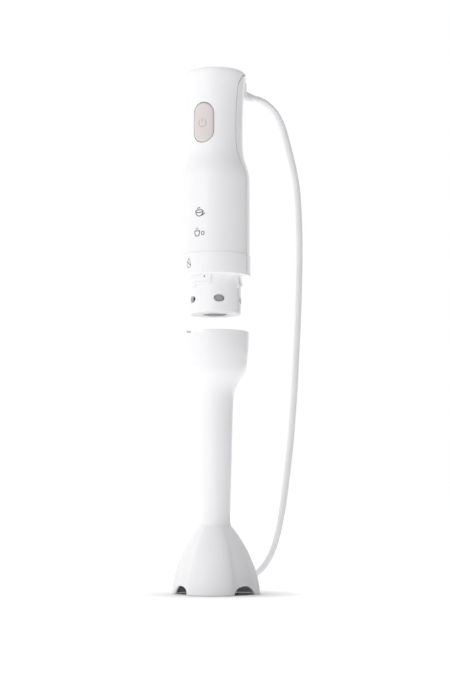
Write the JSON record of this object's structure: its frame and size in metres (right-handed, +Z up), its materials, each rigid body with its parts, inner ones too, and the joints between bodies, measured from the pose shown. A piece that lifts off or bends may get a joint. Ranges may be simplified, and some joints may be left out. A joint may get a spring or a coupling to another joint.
{
  "type": "immersion blender",
  "caption": "Hand-held immersion blender in two halves: mains motor unit with push button, lifted off its bayonet blending bar with bell guard and blade, cord coiled behind.",
  "frame": {"origin": "on the blending bar's upright axis, at the rim of the bell guard that it stands on", "axes": "+Z up along the drive axis, -Y to the motor unit's front with its button, +X to the right seen from the front"},
  "size_m": [0.1362, 0.1786, 0.4292],
  "materials": {
    "white_plastic": "smooth satin-gloss white moulded plastic",
    "button_rubber": "soft-touch pinkish grey",
    "cord_plastic": "satin white flexible jacket",
    "dark_plastic": "matt black moulded plastic",
    "black_rubber": "matt rubber",
    "steel": "turned steel",
    "blade_steel": "stamped and ground stainless steel",
    "brass": "bright brass",
    "copper": "enamelled copper",
    "bronze": "oiled sintered bronze",
    "ferrite": "dark sintered",
    "board": "green laminate",
    "component": "moulded component case",
    "lead_brown": "brown wire insulation",
    "lead_blue": "blue wire insulation"
  },
  "bodies": {
    "blending_bar": {"bar_tube": "white_plastic", "bell_guard": "white_plastic", "upper_bush": "bronze", "middle_bush": "dark_plastic", "lower_bush": "bronze", "shaft_seal": "black_rubber"},
    "blade_drive": {"drive_shaft": "steel", "retaining_clip": "steel", "drive_coupler_male": "dark_plastic", "blade_hub": "dark_plastic", "blade": "blade_steel"},
    "cord": {"cord_tube": "cord_plastic", "cord_coil": "cord_plastic", "cord_tail": "cord_plastic", "plug_boot": "cord_plastic", "plug_body": "cord_plastic", "plug_pin_left": "steel", "plug_pin_right": "steel"},
    "motor_unit": {"front_shell": "white_plastic", "rear_shell": "white_plastic", "strain_relief": "cord_plastic", "circuit_board": "board", "switch_body": "dark_plastic", "suppression_capacitor": "component", "bridge_rectifier": "dark_plastic", "lead_live": "lead_brown", "lead_neutral": "lead_blue", "cord_clamp": "dark_plastic", "clamp_screw_left": "steel", "clamp_screw_right": "steel", "motor_can": "steel", "field_magnet_front": "ferrite", "field_magnet_rear": "ferrite", "motor_lower_cap": "dark_plastic", "motor_upper_cap": "dark_plastic", "motor_lower_bearing": "bronze", "motor_upper_bearing": "bronze", "motor_damper_lower": "black_rubber", "motor_damper_upper": "black_rubber", "brush_holder_left": "brass", "brush_holder_right": "brass", "carbon_brush_left": "ferrite", "carbon_brush_right": "ferrite"},
    "rotor": {"drive_coupler_female": "dark_plastic", "motor_shaft": "steel", "cooling_fan": "dark_plastic", "armature_core": "steel", "armature_winding": "copper", "commutator": "copper"},
    "push_button": {"button": "button_rubber"},
    "switch_key": {"switch_plunger": "component"}
  },
  "joints": [
    {"name": "bayonet_turn", "type": "hinge", "parent": "blending_bar", "child": "cord", "pos_m": [0, 0, 0.212], "axis": [0, 0, 1], "range_deg": [0, 20]},
    {"name": "motor_unit_lift", "type": "slide", "parent": "cord", "child": "motor_unit", "axis": [0, 0, 1], "range_m": [-0.0452, 0]},
    {"name": "rotor_spin", "type": "hinge", "parent": "motor_unit", "child": "rotor", "pos_m": [0, 0, 0.29], "axis": [0, 0, 1], "continuous": true},
    {"name": "blade_spin", "type": "hinge", "parent": "blending_bar", "child": "blade_drive", "pos_m": [0, 0, 0.1], "axis": [0, 0, 1], "continuous": true},
    {"name": "button_press", "type": "slide", "parent": "motor_unit", "child": "push_button", "axis": [0, 1, 0], "range_m": [0, 0.002], "stiffness_N_per_m": 1500, "springref_m": -0.001},
    {"name": "switch_key_press", "type": "slide", "parent": "motor_unit", "child": "switch_key", "axis": [0, 1, 0], "range_m": [0, 0.002]}
  ],
  "couplings": [
    {"joint": "blade_spin", "follows": "rotor_spin", "ratio": 1},
    {"joint": "switch_key_press", "follows": "button_press", "ratio": 1}
  ]
}
